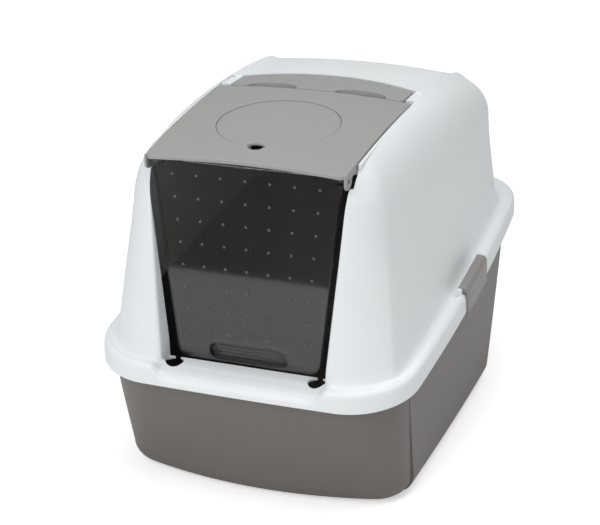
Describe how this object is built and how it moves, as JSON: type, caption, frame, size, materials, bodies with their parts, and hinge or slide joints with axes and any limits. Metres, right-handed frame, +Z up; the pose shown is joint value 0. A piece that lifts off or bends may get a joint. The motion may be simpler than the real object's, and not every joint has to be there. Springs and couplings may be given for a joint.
{
  "type": "hooded cat litter box",
  "caption": "Two-part litter box: a tapered pan under a domed hood with a tipping front lid, a swinging see-through door, a round filter cover, a carry handle and side clips.",
  "frame": {"origin": "under the middle of the box, on the floor it stands on", "axes": "+Y from the door to the back, +Z up, +X to the right seen from the front"},
  "size_m": [0.3884, 0.56, 0.42],
  "materials": {
    "pan_plastic": "fine satin grain",
    "hood_plastic": "fine satin grain",
    "lid_plastic": "fine satin grain",
    "clip_plastic": "satin",
    "door_plastic": "smoked, polished, see-through",
    "filter_felt": "carbon-loaded felt"
  },
  "bodies": {
    "base": {"pan": "pan_plastic", "hood": "hood_plastic"},
    "lid": {"lid": "lid_plastic", "carbon_filter": "filter_felt"},
    "door": {"door": "door_plastic"},
    "cover": {"filter_cover": "lid_plastic"},
    "handle": {"handle": "lid_plastic"},
    "clip_right": {"clip_right": "clip_plastic"},
    "clip_left": {"clip_left": "clip_plastic"}
  },
  "joints": [
    {"name": "lid_hinge", "type": "hinge", "parent": "base", "child": "lid", "pos_m": [0, -0.0332, 0.4122], "axis": [-1, 0, 0], "range_deg": [0, 95]},
    {"name": "door_hinge", "type": "hinge", "parent": "lid", "child": "door", "pos_m": [0, -0.2365, 0.386], "axis": [1, 0, 0], "range_deg": [-70, 70]},
    {"name": "cover_lift", "type": "slide", "parent": "lid", "child": "cover", "axis": [0, -0.1014, 0.9948], "range_m": [0, 0.06]},
    {"name": "handle_hinge", "type": "hinge", "parent": "base", "child": "handle", "pos_m": [0, -0.011, 0.409], "axis": [1, 0, 0], "range_deg": [0, 90]},
    {"name": "clip_right_hinge", "type": "hinge", "parent": "base", "child": "clip_right", "pos_m": [0.1835, -0.00077, 0.20736], "axis": [0, -0.9903, -0.1387], "range_deg": [0, 100]},
    {"name": "clip_left_hinge", "type": "hinge", "parent": "base", "child": "clip_left", "pos_m": [-0.1835, -0.00077, 0.20736], "axis": [0, 0.9903, 0.1387], "range_deg": [0, 100]}
  ]
}
